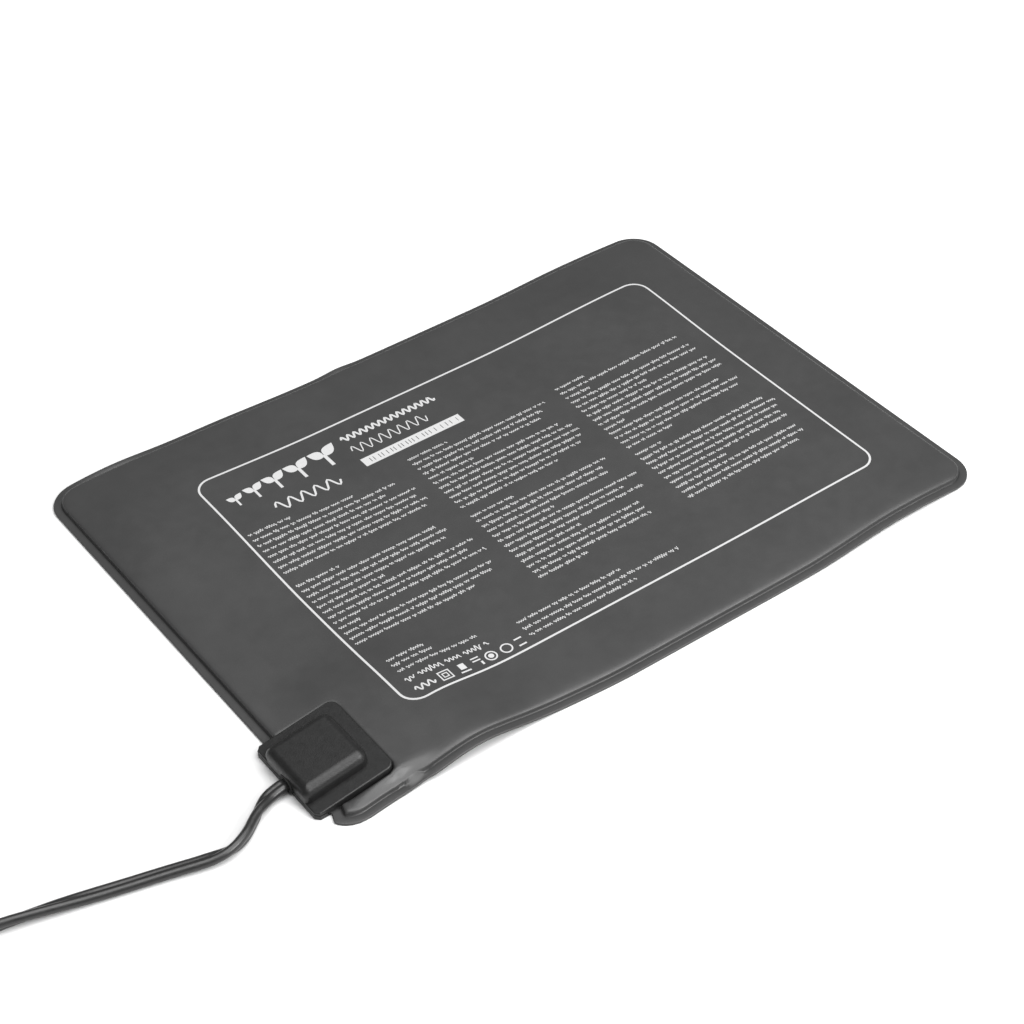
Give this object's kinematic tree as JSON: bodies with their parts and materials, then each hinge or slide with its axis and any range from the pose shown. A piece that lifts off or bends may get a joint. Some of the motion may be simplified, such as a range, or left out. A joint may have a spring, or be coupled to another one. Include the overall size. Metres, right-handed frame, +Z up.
{
  "type": "seedling heat mat",
  "caption": "Flat heated mat for seed trays, with welded cover sheets around a heating layer, a corner terminal box, a flat twin lead and a moulded plug.",
  "frame": {"origin": "centre of the mat's underside, on the surface that it lies on", "axes": "+X along the mat's long side away from the terminal box, +Y along its short side away from the terminal box, +Z up"},
  "size_m": [0.5635, 0.25, 0.043],
  "materials": {
    "top_sheet": "fine matte grain",
    "bottom_sheet": "fine matte grain",
    "foam": "closed-cell foam",
    "fleece": "non-woven",
    "foil": "bright foil",
    "wire_insulation": "silicone",
    "box_plastic": "satin moulded",
    "seal": "soft",
    "lead_jacket": "smooth PVC",
    "tie": "hook and loop strap",
    "screw_steel": "zinc plated",
    "live_insulation": "PVC",
    "neutral_insulation": "PVC",
    "crimp_metal": "tinned",
    "heat_shrink": "heat shrink",
    "thermal_fuse_case": "bright",
    "fibre_sleeve": "woven glass sleeve",
    "plug_plastic": "moulded",
    "pin_metal": "nickel plated",
    "pin_sleeve": "moulded",
    "fuse_ceramic": "glazed",
    "fuse_cap_metal": "plated"
  },
  "bodies": {
    "mat": {"bottom_cover_sheet": "bottom_sheet", "box_base": "box_plastic", "box_cover": "box_plastic", "coil_tie": "tie", "cord_clamp": "box_plastic", "cord_clamp_screws": "screw_steel", "cord_gland": "seal", "cord_inner_end": "lead_jacket", "cover_screws": "screw_steel", "crimp_sleeves": "heat_shrink", "earth_pin": "plug_plastic", "fuse_clips": "crimp_metal", "heat_spreader_foil": "foil", "heater_crimp": "crimp_metal", "heating_wire": "wire_insulation", "insulation_foam": "foam", "lead_coil": "lead_jacket", "lead_run": "lead_jacket", "lead_tail": "lead_jacket", "live_core": "live_insulation", "live_crimp": "crimp_metal", "live_pin": "pin_metal", "live_pin_sleeve": "pin_sleeve", "lower_seal": "seal", "neutral_core": "neutral_insulation", "neutral_crimp": "crimp_metal", "neutral_pin": "pin_metal", "neutral_pin_sleeve": "pin_sleeve", "plug_body": "plug_plastic", "plug_bridge": "plug_plastic", "plug_strain_relief": "lead_jacket", "thermal_fuse": "thermal_fuse_case", "thermal_fuse_sleeve": "fibre_sleeve", "top_cover_sheet": "top_sheet", "upper_seal": "seal", "wire_carrier_fleece": "fleece"},
    "fuse_carrier": {"fuse_carrier": "plug_plastic", "fuse_tube": "fuse_ceramic", "fuse_caps": "fuse_cap_metal"}
  },
  "joints": [
    {"name": "fuse_carrier_slide", "type": "slide", "parent": "mat", "child": "fuse_carrier", "axis": [0, 0, 1], "range_m": [0, 0.012]}
  ]
}
